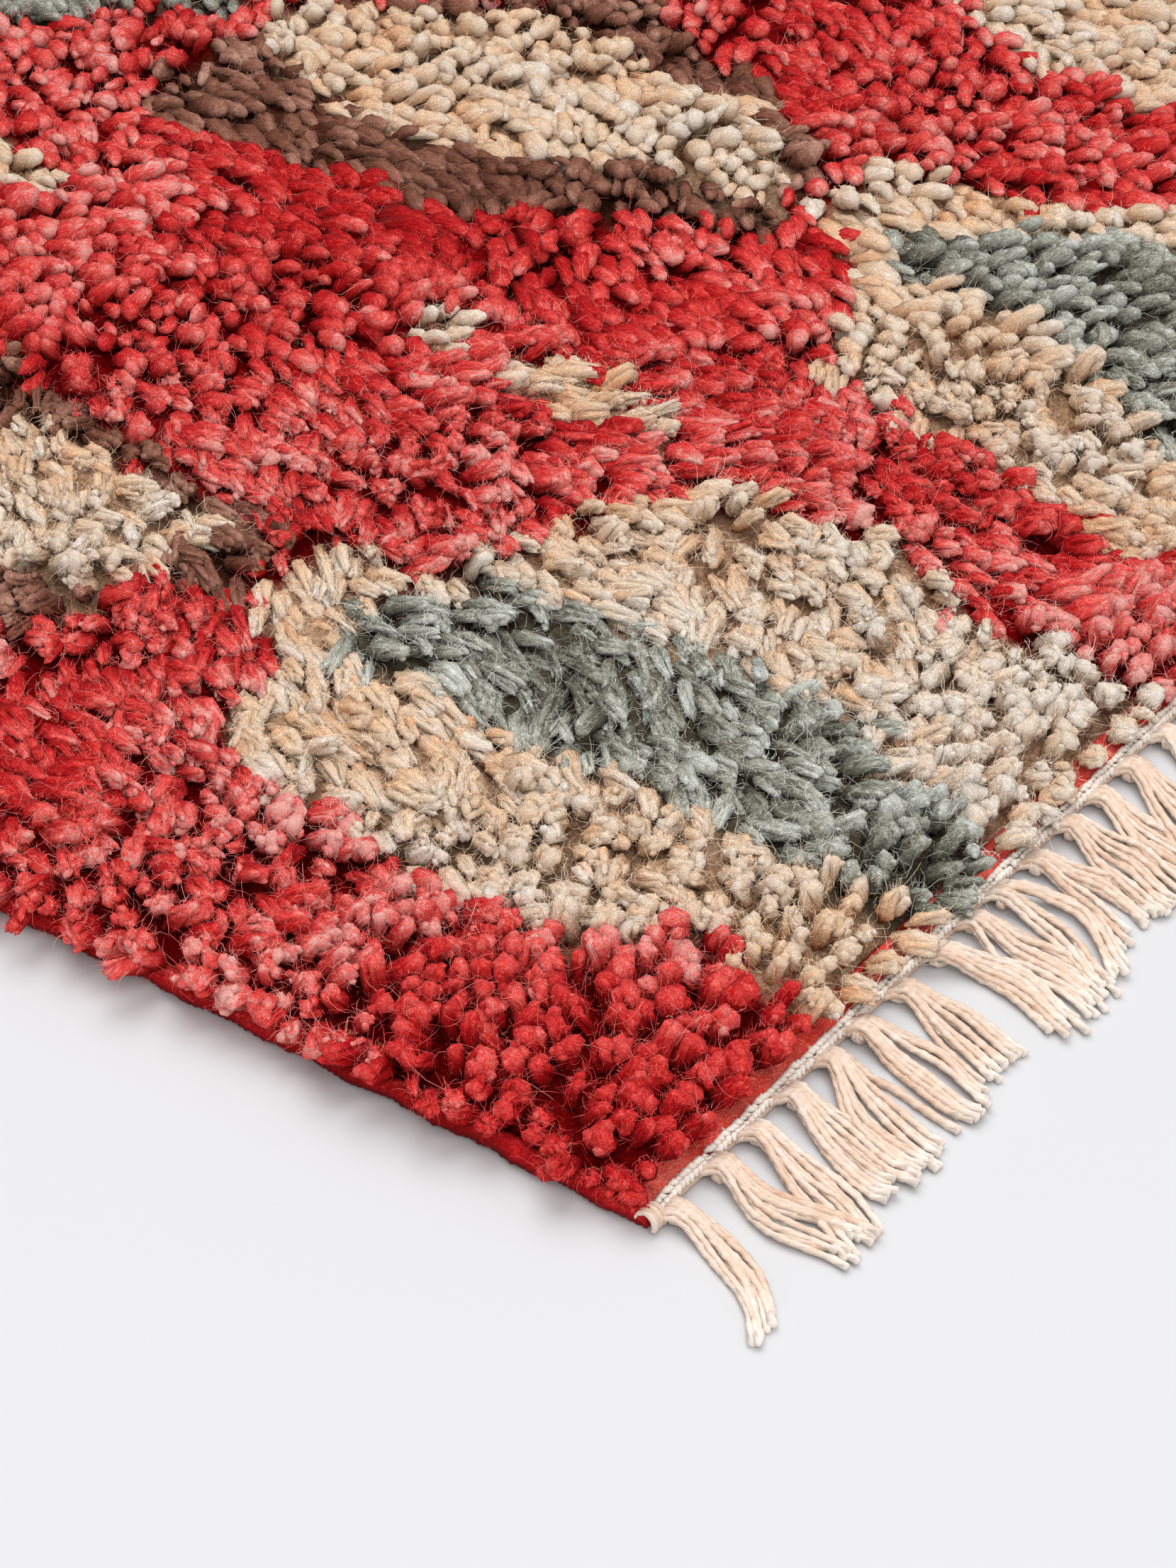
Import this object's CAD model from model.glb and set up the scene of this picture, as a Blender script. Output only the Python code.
"""Hand-knotted Berber shag rug: thick wool pile with lozenges, wrapped sides, and braided and tasselled ends.

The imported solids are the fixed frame. Every piece here stands where its solid stands, in metres, with +Z up
and +Y along the rug. Places on the rug are often given from its front left corner, as across (+X) and up (+Y).
"""

from __future__ import annotations

import logging
import math
from collections.abc import Callable
from dataclasses import dataclass, field, fields
from enum import Enum
from typing import ClassVar

import bmesh
import bpy
import numpy as np
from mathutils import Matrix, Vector

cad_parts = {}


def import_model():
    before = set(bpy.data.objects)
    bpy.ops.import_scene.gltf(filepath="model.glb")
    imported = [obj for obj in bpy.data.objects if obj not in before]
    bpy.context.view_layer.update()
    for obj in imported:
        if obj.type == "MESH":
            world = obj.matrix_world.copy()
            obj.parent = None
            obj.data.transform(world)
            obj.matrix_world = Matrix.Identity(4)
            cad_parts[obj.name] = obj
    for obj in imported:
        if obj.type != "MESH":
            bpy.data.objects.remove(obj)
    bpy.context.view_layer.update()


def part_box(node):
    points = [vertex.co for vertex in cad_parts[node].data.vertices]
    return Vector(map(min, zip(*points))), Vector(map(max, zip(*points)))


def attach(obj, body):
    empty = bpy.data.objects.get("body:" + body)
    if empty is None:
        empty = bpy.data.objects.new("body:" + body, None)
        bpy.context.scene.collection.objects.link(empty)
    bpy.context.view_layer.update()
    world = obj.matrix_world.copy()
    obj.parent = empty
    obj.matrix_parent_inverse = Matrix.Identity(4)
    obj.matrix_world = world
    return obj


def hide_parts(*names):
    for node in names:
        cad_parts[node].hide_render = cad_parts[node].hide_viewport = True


Array = np.ndarray
Chance = np.random.Generator
Colour = tuple[float, float, float]
Piece = bpy.types.Object
Place = tuple[float, float, float]
Profile = tuple[tuple[float, float], ...]
Socket = bpy.types.NodeSocket

LOG = logging.getLogger("berber_rug")
BODY = "root"
MOST_TRIANGLES = 185_000  # in one piece
MM = 0.001
TURN = 2 * math.pi
LATTICE = 64  # points along each side of the random fields
BAKE_MAP = "OFBake"  # the map that the export draws a finish on


class Dye(Enum):
    """The colours of wool in the pile."""

    RED = "red"
    SAND = "sand"
    SAGE = "sage"
    BROWN = "brown"
    OCHRE = "ochre"


def smooth_step(low: float, high: float, value: Array) -> Array:
    """A soft step from 0 at low to 1 at high."""
    share = np.clip((value - low) / (high - low), 0.0, 1.0)
    return share * share * (3 - 2 * share)


def drift(x: Array, y: Array, pitch: float, seed: int) -> Array:
    """Slow random change over the rug, from -1 to 1.

    Args:
        x, y: Places in metres.
        pitch: Distance over which it changes.
        seed: Which of many such fields.

    Returns:
        One value for each place.
    """
    lattice = np.random.default_rng(seed).uniform(-1, 1, (LATTICE, LATTICE))
    u, v = np.asarray(x) / pitch + 31.7, np.asarray(y) / pitch + 29.3
    i, j = np.floor(u).astype(int), np.floor(v).astype(int)
    a, b = smooth_step(0, 1, u - i), smooth_step(0, 1, v - j)
    low, high = (
        lattice[i % LATTICE, row % LATTICE] * (1 - a) + lattice[(i + 1) % LATTICE, row % LATTICE] * a
        for row in (j, j + 1)
    )
    return low * (1 - b) + high * b


def relief(x: Array, y: Array) -> Array:
    """How much higher or lower than usual the pile stands, in slow waves."""
    return (4.0 * drift(x, y, 0.055, 16) + 2.6 * drift(x, y, 0.13, 17) - 1.2) * MM


def joined(*coordinates: Array | float) -> Array:
    """Points from their coordinates, each of them an array or one number."""
    return np.stack(np.broadcast_arrays(*coordinates), axis=-1)


def unit(vectors: Array) -> Array:
    """The vectors at length 1."""
    return vectors / (np.linalg.norm(vectors, axis=-1, keepdims=True) + 1e-12)


def tones(chance: Chance, middle: Array | float, spread: float, count: int) -> Array:
    """Random tones round a middle one, kept from 0 to 1."""
    return np.clip(middle + chance.normal(0, spread, count), 0, 1)


def sample(values: Array, places: Array) -> Array:
    """Read rows of evenly spaced values at places from 0 to 1.

    Args:
        values: Rows by knots, or rows by knots by 3.
        places: One row of places for all, or a row for each.

    Returns:
        Rows by places, or rows by places by 3.
    """
    spot = np.clip(np.broadcast_to(places, (len(values), places.shape[-1])), 0, 1) * (values.shape[1] - 1)
    level = np.minimum(spot.astype(int), values.shape[1] - 2)
    share = spot - level
    rows = np.arange(len(values))[:, None]
    if values.ndim == 3:
        share = share[..., None]
    return values[rows, level] * (1 - share) + values[rows, level + 1] * share


def open_edges(bm: bmesh.types.BMesh) -> list[bmesh.types.BMEdge]:
    """The edges at the rim of a bmesh's open surface."""
    return [edge for edge in bm.edges if edge.is_boundary]


def points_in(geometry: list[bmesh.types.BMElem]) -> list[bmesh.types.BMVert]:
    """The points among the new parts that a bmesh operator gives."""
    return [part for part in geometry if isinstance(part, bmesh.types.BMVert)]


def mesh_of(name: str, bm: bmesh.types.BMesh) -> bpy.types.Mesh:
    """Turn a finished bmesh into a mesh and free it.

    Args:
        name: The mesh's name.
        bm: The bmesh.

    Returns:
        The mesh.
    """
    mesh = bpy.data.meshes.new(name)
    bm.to_mesh(mesh)
    bm.free()
    return mesh


def put(name: str, data: bpy.types.ID) -> Piece:
    """Put a mesh, a lamp or a camera in the scene as an object.

    Args:
        name: The object's name.
        data: What it shows.

    Returns:
        The object.
    """
    thing = bpy.data.objects.new(name, data)
    bpy.context.collection.objects.link(thing)
    return thing


def walk(start: Array, steps: int, length: Array, way: Callable[[int], Array]) -> Array:
    """Paths that set out from their starts and turn at every step.

    Args:
        start: The first points, rows by 3.
        steps: Steps in each path.
        length: Length of each whole path.
        way: Gives the headings of a step from its number, which starts at 1.

    Returns:
        The paths, rows by points by 3.
    """
    path = [start]
    for step in range(1, steps + 1):
        path.append(path[-1] + way(step) * (length / steps)[:, None])
    return np.stack(path, axis=1)


@dataclass(frozen=True)
class Outline:
    """The rug's outline, read from the frame, and the wander of its long sides that the solids have."""

    half_width: float = 0.5
    gap: float = 0.3 * MM
    sway: float = 3 * MM
    sway_pitch: float = 0.86
    sway_lag: float = 1.3
    binding_width: float = 8 * MM
    scallop_depth: float = 2.5 * MM
    scallop_pitch: float = 40 * MM
    braid_width: float = 5 * MM
    band_width: float = 13 * MM

    @property
    def ground_end(self) -> float:
        """Half the ground's length."""
        return float(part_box("ground")[1][1])

    @property
    def ground_top(self) -> float:
        """Level of the ground's upper face."""
        return float(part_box("ground")[1][2])

    @property
    def half_length(self) -> float:
        """Half the length over the braids."""
        return self.ground_end + self.gap + self.braid_width

    @property
    def pile_end(self) -> float:
        """Half the length of the knotted part."""
        return self.ground_end - self.band_width

    def side(self, y: Array, sign: int) -> Array:
        """Where the ground meets the binding on one side, -1 or 1."""
        wander = self.sway * np.sin(TURN * np.asarray(y) / self.sway_pitch + self.sway_lag * sign)
        return sign * (self.half_width - self.binding_width - self.scallop_depth - self.gap) + wander

    def sides(self, y: float, inset: float = 0.0) -> tuple[float, float]:
        """Those places on the left and the right of one row, drawn in by an inset."""
        return tuple(float(self.side(y, sign)) - sign * inset for sign in (-1, 1))

    def across(self, x: Array) -> Array:
        """Distance from the corner along the fringed end."""
        return np.asarray(x) + self.half_width

    def up(self, y: Array) -> Array:
        """Distance from the corner along the side."""
        return np.asarray(y) + self.half_length


class Graph:
    """A material's nodes, with short calls that add a node and return one of its outputs."""

    def __init__(self, name: str) -> None:
        """Start an empty material with its output.

        Args:
            name: The material's name.
        """
        self.material = bpy.data.materials.new(name)
        self.material.use_nodes = True
        self.tree = self.material.node_tree
        self.tree.nodes.clear()
        self.output = self.tree.nodes.new("ShaderNodeOutputMaterial")

    def add(self, kind: str, output: int | str = 0, settings: dict | None = None, **inputs: object) -> Socket:
        """Add a node.

        Args:
            kind: The node's type, without the ShaderNode in front.
            output: Which of its outputs is wanted.
            settings: The node's own properties.
            inputs: Values or sockets for its inputs, with _ for a space, or n and the input's number.

        Returns:
            The output.
        """
        node = self.tree.nodes.new("ShaderNode" + kind)
        for key, value in (settings or {}).items():
            setattr(node, key, value)
        for key, value in inputs.items():
            numbered = key[0] == "n" and key[1:].isdigit()
            socket = node.inputs[int(key[1:]) if numbered else key.replace("_", " ")]
            if isinstance(value, Socket):
                self.tree.links.new(value, socket)
            else:
                socket.default_value = value
        return node.outputs[output]

    def read(self, name: str, output: str = "Fac") -> Socket:
        """An attribute of the mesh."""
        return self.add("Attribute", output, {"attribute_name": name})

    def maths(self, operation: str, *values: Socket | float) -> Socket:
        """The result of one operation."""
        inputs = {f"n{number}": value for number, value in enumerate(values)}
        return self.add("Math", 0, {"operation": operation}, **inputs)

    def sum_of(self, *terms: tuple[Socket, float], start: float = 0.0) -> Socket:
        """Add up sockets.

        Args:
            terms: A socket and its weight for each term.
            start: What the sum starts from.

        Returns:
            The sum.
        """
        total: Socket | float = start
        for socket, weight in terms:
            total = self.maths("MULTIPLY_ADD", socket, weight, total)
        return total

    def noise(
        self, place: Socket, scale: float, detail: float, roughness: float = 0.5, distortion: float = 0.0
    ) -> Socket:
        """Noise from 0 to 1."""
        amounts = {"Scale": scale, "Detail": detail, "Roughness": roughness, "Distortion": distortion}
        return self.add("TexNoise", Vector=place, **amounts)

    def drawn_out(self, place: Socket, share: float, shift: Place = (0.0, 0.0, 0.0)) -> Socket:
        """A place with its Z shortened, so that patterns run along the yarn."""
        return self.add("Mapping", Vector=place, Scale=(1.0, 1.0, share), Location=shift)

    def span(self, value: Socket, low: float, high: float, start: float = 0.0, end: float = 1.0) -> Socket:
        """A value moved from one range to another, and kept there."""
        return self.add("MapRange", Value=value, From_Min=low, From_Max=high, To_Min=start, To_Max=end)

    def mix(self, share: Socket | float, first: object, second: Socket, blend: str = "MIX") -> Socket:
        """Two colours, blended."""
        return self.add("Mix", 2, {"data_type": "RGBA", "blend_type": blend}, n0=share, n6=first, n7=second)

    def ramp(self, value: Socket, *stops: tuple[float, Colour]) -> Socket:
        """Add a colour ramp.

        Args:
            value: What runs along it.
            stops: A place and a colour for each of its stops.

        Returns:
            The colour.
        """
        colour = self.add("ValToRGB", Fac=value)
        row = colour.node.color_ramp
        while len(row.elements) < len(stops):
            row.elements.new(1.0)
        for element, (place, shade) in zip(row.elements, stops):
            element.position = place
            element.color = (*shade, 1.0)
        return colour

    def bump(self, height: Socket, strength: float, distance: float) -> Socket:
        """A normal that follows a height."""
        return self.add("Bump", Height=height, Strength=strength, Distance=distance)

    def surface(self, **inputs: object) -> bpy.types.Material:
        """Join a shader with these inputs to the output, and return the material."""
        self.tree.links.new(self.add("BsdfPrincipled", **inputs), self.output.inputs["Surface"])
        return self.material


def linear(*screen: int) -> Colour:
    """Linear light from screen values of 0 to 255."""
    shares = (value / 255 for value in screen)
    return tuple(s / 12.92 if s <= 0.04045 else ((s + 0.055) / 1.055) ** 2.4 for s in shares)


@dataclass(frozen=True)
class Swatch:
    """One dye's colours: of its yarn from root to tip, of its loose fibres, and of its matted wool."""

    deep: Colour
    body: Colour
    light: Colour
    haze: Colour
    fibre_dark: Colour
    fibre_pale: Colour
    matted: Colour
    sheen: float = 0.15
    streaks: float = 0.70
    hairs: float = 0.22


# deep, body, light and haze of the yarn; dark and pale of its fibres, and the matted wool; sheen, streaks, hairs
SWATCHES = {
    Dye.RED: Swatch(
        linear(138, 0, 3), linear(204, 5, 17), linear(252, 90, 84), linear(255, 196, 186),
        linear(232, 66, 64), linear(253, 172, 160), linear(164, 4, 10),
    ),
    Dye.SAND: Swatch(
        linear(234, 164, 110), linear(250, 210, 170), linear(248, 226, 202), linear(252, 242, 231),
        linear(248, 210, 170), linear(255, 244, 228), linear(246, 204, 164),
    ),
    Dye.SAGE: Swatch(
        linear(50, 45, 32), linear(112, 109, 93), linear(182, 182, 168), linear(232, 234, 227),
        linear(160, 160, 142), linear(246, 248, 240), linear(116, 110, 90), 0.2, 0.75, 0.36,
    ),
    Dye.BROWN: Swatch(
        linear(78, 34, 20), linear(124, 74, 56), linear(166, 112, 92), linear(212, 164, 144),
        linear(120, 76, 58), linear(196, 150, 130), linear(104, 56, 38), 0.1, 0.6,
    ),
    Dye.OCHRE: Swatch(
        linear(176, 86, 12), linear(230, 138, 30), linear(246, 180, 76), linear(250, 220, 160),
        linear(234, 156, 56), linear(252, 222, 156), linear(214, 120, 24),
    ),
}


@dataclass(frozen=True)
class Finish:
    """A finish that pieces of the rug can have, made into a material once."""

    name: str

    def material(self) -> bpy.types.Material:
        """The finish as a material."""
        raise NotImplementedError


@dataclass(frozen=True)
class WoolFinish(Finish):
    """Handspun wool: dark and full at the root, paler at the tip, streaked, and with fine pale hairs."""

    swatch: Swatch

    @classmethod
    def of(cls, dye: Dye) -> WoolFinish:
        """The finish of one dye."""
        return cls(f"wool_{dye.value}", SWATCHES[dye])

    def hair_lines(self, g: Graph, fibre: Socket, scale: float, shift: float) -> Socket:
        """Thin curly lines, where a slow noise crosses its middle value.

        Args:
            g: The material's nodes.
            fibre: Place on the yarn.
            scale: The noise's scale.
            shift: How far the noise is moved, so that two sets of lines differ.

        Returns:
            1 on a line and 0 away from it.
        """
        wave = g.noise(g.drawn_out(fibre, 0.5, (shift, shift * 0.7, 0.0)), scale, 2.0, distortion=0.7)
        return g.span(g.maths("ABSOLUTE", g.maths("SUBTRACT", wave, 0.5)), 0.0, 0.05, 1.0, 0.0)

    def material(self) -> bpy.types.Material:
        """Make the finish's material, which reads the yarn's own attributes.

        Returns:
            The material.
        """
        g, dye = Graph(self.name), self.swatch
        fibre = g.read("fibre", "Vector")
        fine = g.noise(g.drawn_out(fibre, 0.16), 1.15, 4.0, 0.62, 0.4)
        broad = g.noise(fibre, 0.28, 2.0)
        puffs = g.noise(fibre, 0.62, 1.0)
        coarse, close = self.hair_lines(g, fibre, 0.42, 3.0), self.hair_lines(g, fibre, 0.75, 47.0)
        lines = g.maths("MAXIMUM", coarse, close)
        shade = g.sum_of(
            (g.read("tip"), 0.80), (g.read("tone"), 0.58),
            (fine, dye.streaks), (broad, 0.34), (lines, dye.hairs),
            start=-0.48 - dye.streaks * 0.5 - dye.hairs * 0.2,
        )
        height = g.sum_of((fine, 1.4), (broad, 0.4), (puffs, 0.5), (lines, 0.5))
        return g.surface(
            Base_Color=g.ramp(shade, (0.0, dye.deep), (0.35, dye.body), (0.68, dye.light), (1.0, dye.haze)),
            Roughness=0.85, Diffuse_Roughness=1.0, Normal=g.bump(height, 0.95, 1.35 * MM),
            Specular_IOR_Level=0.15,
            Sheen_Weight=dye.sheen, Sheen_Roughness=0.5, Sheen_Tint=(*dye.light, 1.0),
        )


@dataclass(frozen=True)
class FibreFinish(Finish):
    """Loose fibres that stand off the yarn, a little paler than it."""

    dark: Colour
    pale: Colour

    @classmethod
    def of(cls, dye: Dye) -> FibreFinish:
        """The finish of one dye."""
        return cls(f"fibres_{dye.value}", SWATCHES[dye].fibre_dark, SWATCHES[dye].fibre_pale)

    def material(self) -> bpy.types.Material:
        """Make the finish's material, which varies from fibre to fibre.

        Returns:
            The material.
        """
        g = Graph(self.name)
        colour = g.ramp(g.read("tone"), (0.0, self.dark), (1.0, self.pale))
        return g.surface(Base_Color=colour, Roughness=0.6, Specular_IOR_Level=0.3)


@dataclass(frozen=True)
class CottonFinish(Finish):
    """Undyed two-ply cotton, matt, with fine streaks along the ply and a faint warm stain in its hollows."""

    deep: Colour = linear(188, 136, 102)
    body: Colour = linear(222, 194, 172)
    light: Colour = linear(240, 230, 220)

    def material(self) -> bpy.types.Material:
        """Make the finish's material, which reads the yarn's own attributes.

        Returns:
            The material.
        """
        g = Graph(self.name)
        fibre = g.read("fibre", "Vector")
        cut_ends = g.span(g.read("tip"), 0.86, 1.0)
        fine = g.noise(g.drawn_out(fibre, 0.25), 2.2, 3.0, 0.6)
        broad = g.noise(fibre, 0.15, 2.0)
        shade = g.sum_of((g.read("tone"), 0.35), (fine, 0.5), (broad, 0.7), (cut_ends, 0.40), start=-0.26)
        return g.surface(
            Base_Color=g.ramp(shade, (0.0, self.deep), (0.42, self.body), (1.0, self.light)), Roughness=0.9,
            Normal=g.bump(fine, 0.6, 0.4 * MM),
            Specular_IOR_Level=0.15, Sheen_Weight=0.25, Sheen_Roughness=0.5,
        )


@dataclass(frozen=True)
class WeaveFinish(Finish):
    """Weft-faced flat weave: fine hairy red ribs, darker under the pile, where the knots close it."""

    pile_end: float
    rib_pitch: float = 2.6 * MM
    weft_pitch: float = 1.3 * MM
    shaded: Colour = linear(190, 4, 10)
    deep: Colour = linear(226, 12, 14)
    body: Colour = linear(255, 62, 50)
    light: Colour = linear(255, 138, 120)

    def material(self) -> bpy.types.Material:
        """Make the finish's material, which is laid out on the sheet's own place.

        Returns:
            The material.
        """
        g = Graph(self.name)
        place = g.add("TexCoord", "Object")
        x, y = (g.add("SeparateXYZ", axis, Vector=place) for axis in "XY")
        rib = g.maths("MULTIPLY", x, TURN / self.rib_pitch)
        weft = g.maths("MULTIPLY_ADD", rib, 0.5, g.maths("MULTIPLY", y, TURN / self.weft_pitch))
        rib_wave, weft_wave = (g.maths("COSINE", wave) for wave in (rib, weft))
        hair = g.noise(place, 760.0, 3.0, 0.6, 1.6)
        broad = g.noise(place, 60.0, 3.0)
        shade = g.sum_of((rib_wave, 0.03), (weft_wave, 0.03), (hair, 2.1), (broad, 0.6), start=-0.66)
        colour = g.ramp(shade, (0.0, self.deep), (0.5, self.body), (1.0, self.light))
        bare = g.span(g.maths("ABSOLUTE", y), self.pile_end - 3 * MM, self.pile_end + 2 * MM)
        height = g.sum_of((rib_wave, 0.10), (weft_wave, 0.10), (hair, 1.2))
        return g.surface(
            Base_Color=g.mix(bare, (*self.shaded, 1.0), colour), Roughness=0.9,
            Normal=g.bump(height, 1.0, 1.1 * MM), Specular_IOR_Level=0.1,
        )


@dataclass(frozen=True)
class MattedFinish(Finish):
    """Wool matted low down between the tufts, in each place's dye, with dark gaps between its hairs."""

    dark: Colour = (0.30, 0.20, 0.18)
    pale: Colour = (1.0, 1.0, 1.0)

    def material(self) -> bpy.types.Material:
        """Make the finish's material, which reads each place's dye.

        Returns:
            The material.
        """
        g = Graph(self.name)
        place = g.add("TexCoord", "Object")
        hair = g.noise(place, 420.0, 4.0, 0.65, 1.2)
        shade = g.sum_of((hair, 1.9), (g.noise(place, 110.0, 2.0), 0.9), start=-0.88)
        grey = g.ramp(shade, (0.0, self.dark), (1.0, self.pale))
        return g.surface(
            Base_Color=g.mix(1.0, g.read("dye", "Color"), grey, "MULTIPLY"), Roughness=0.95,
            Normal=g.bump(shade, 1.0, 2.5 * MM), Specular_IOR_Level=0.05,
        )


COTTON = CottonFinish("cotton_warp")
EDGE_FIBRES = FibreFinish("fibres_edge", linear(214, 14, 18), linear(252, 92, 78))


@dataclass(frozen=True)
class Row:
    """One charted row of a motif, in metres from the corner: its height, and its own and its core's edges."""

    up: float
    left: float
    core_left: float
    core_right: float
    right: float


@dataclass(frozen=True)
class Motif:
    """A lozenge: a band of one dye round a core of another, charted by rows."""

    band: Dye
    core: Dye
    rows: tuple[Row, ...]

    @classmethod
    def charted(cls, band: Dye, core: Dye, *rows: tuple[int, int, int, int, int]) -> Motif:
        """A motif from rows of up, left, core_left, core_right and right, in millimetres."""
        return cls(band, core, tuple(Row(*(value * MM for value in row)) for row in rows))

    @classmethod
    def plain(
        cls, band: Dye, core: Dye, across: float, up: float, half_width: float, half_length: float,
        band_width: float = 0.075,
    ) -> Motif:
        """A plain lozenge with softly stepped sides, for the part of the rug that repeats.

        Args:
            band, core: Its dyes.
            across, up: Its middle.
            half_width, half_length: Half its size.
            band_width: How wide the band is at the middle.

        Returns:
            The motif.
        """
        rows = []
        for step in range(-6, 7):
            share = step / 6
            wide = half_width * (1 - abs(share) ** 1.5) + 0.012 * math.sin(5.1 * step + 9 * across)
            inner = max(0.0, wide - band_width)
            middle = across + 0.008 * math.sin(2.3 * step + 7 * up)
            left, right = middle - max(wide, 0.01), middle + max(wide, 0.01)
            rows.append(Row(up + share * half_length, left, across - inner, across + inner, right))
        return cls(band, core, tuple(rows))

    def paint(self, across: Array, up: Array, dyes: Array) -> None:
        """Give the tufts inside the motif its dyes.

        Args:
            across, up: The tufts' places from the corner.
            dyes: Their dyes, which are changed.
        """
        heights = [row.up for row in self.rows]
        left, core_left, core_right, right = (
            np.interp(up, heights, [getattr(row, name) for row in self.rows])
            for name in ("left", "core_left", "core_right", "right")
        )
        inside = (up >= heights[0]) & (up <= heights[-1]) & (across > left) & (across < right)
        dyes[inside] = self.band
        dyes[inside & (across > core_left) & (across < core_right)] = self.core


# charted: up, left, core_left, core_right, right; plain: across, up, half_width, half_length, band_width
CHART = (
    Motif.charted(
        Dye.SAND, Dye.SAGE,
        (0, 115, 195, 255, 375), (40, 125, 195, 258, 378), (75, 140, 195, 262, 378),
        (95, 100, 195, 285, 375), (150, 100, 205, 290, 410), (200, 108, 197, 290, 400),
        (240, 115, 200, 290, 395), (270, 122, 203, 285, 365), (285, 125, 205, 250, 300),
        (300, 135, 207, 240, 245), (320, 200, 230, 230, 275), (355, 215, 230, 230, 270),
    ),
    Motif.charted(
        Dye.SAND, Dye.SAGE,
        (0, 445, 545, 660, 740), (75, 460, 548, 680, 740), (115, 474, 553, 690, 745),
        (160, 487, 575, 700, 740), (200, 495, 600, 690, 725), (260, 510, 605, 655, 700),
        (285, 590, 605, 640, 695), (300, 605, 650, 650, 695), (340, 630, 650, 650, 690),
    ),
    Motif.charted(
        Dye.SAND, Dye.SAND,
        (275, 413, 420, 420, 432), (330, 412, 420, 420, 445), (350, 418, 420, 420, 450),
        (380, 422, 420, 420, 438),
    ),
    Motif.charted(Dye.SAND, Dye.SAND, (398, 418, 420, 420, 448), (432, 420, 420, 420, 452)),
    Motif.charted(
        Dye.BROWN, Dye.SAND,
        (350, 595, 620, 620, 630), (360, 590, 620, 640, 680), (375, 587, 612, 668, 692),
        (400, 583, 620, 685, 694), (420, 580, 628, 700, 728), (450, 555, 602, 702, 738),
        (480, 535, 597, 702, 745), (500, 530, 595, 710, 755), (530, 540, 580, 730, 772),
        (560, 522, 577, 725, 760), (600, 537, 590, 705, 730), (650, 520, 608, 685, 700),
        (685, 530, 620, 660, 680),
    ),
    Motif.charted(
        Dye.BROWN, Dye.SAND,
        (362, 212, 230, 230, 255), (398, 205, 230, 230, 265), (404, 140, 170, 255, 266),
        (467, 130, 172, 260, 276), (500, 120, 165, 272, 290), (550, 130, 165, 265, 302),
        (620, 160, 200, 250, 280), (660, 195, 230, 230, 250),
    ),
    Motif.charted(
        Dye.SAND, Dye.SAGE,
        (240, 860, 900, 900, 960), (262, 822, 930, 960, 1000), (330, 824, 930, 970, 1000),
        (380, 860, 930, 930, 1000), (420, 905, 930, 930, 960),
    ),
    Motif.plain(Dye.SAGE, Dye.OCHRE, 0.640, 0.890, 0.130, 0.190, 0.095),
    Motif.plain(Dye.SAND, Dye.SAGE, 0.240, 0.920, 0.135, 0.180),
    Motif.plain(Dye.BROWN, Dye.SAND, 0.950, 0.740, 0.110, 0.150, 0.040),
    Motif.plain(Dye.BROWN, Dye.SAND, 0.220, 1.320, 0.130, 0.170, 0.040),
    Motif.plain(Dye.SAND, Dye.SAGE, 0.640, 1.320, 0.140, 0.180),
    Motif.plain(Dye.SAND, Dye.SAGE, 0.940, 1.130, 0.110, 0.150),
    Motif.plain(Dye.SAND, Dye.SAND, 0.435, 0.700, 0.016, 0.050),
    Motif.plain(Dye.SAND, Dye.SAND, 0.430, 1.090, 0.018, 0.060),
)


def dyes_at(across: Array, up: Array) -> Array:
    """Read the chart.

    Args:
        across, up: Places from the rug's corner.

    Returns:
        The dye at each place.
    """
    dyes = np.full(len(across), Dye.RED, dtype=object)
    for motif in CHART:
        motif.paint(across, up, dyes)
    return dyes


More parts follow.
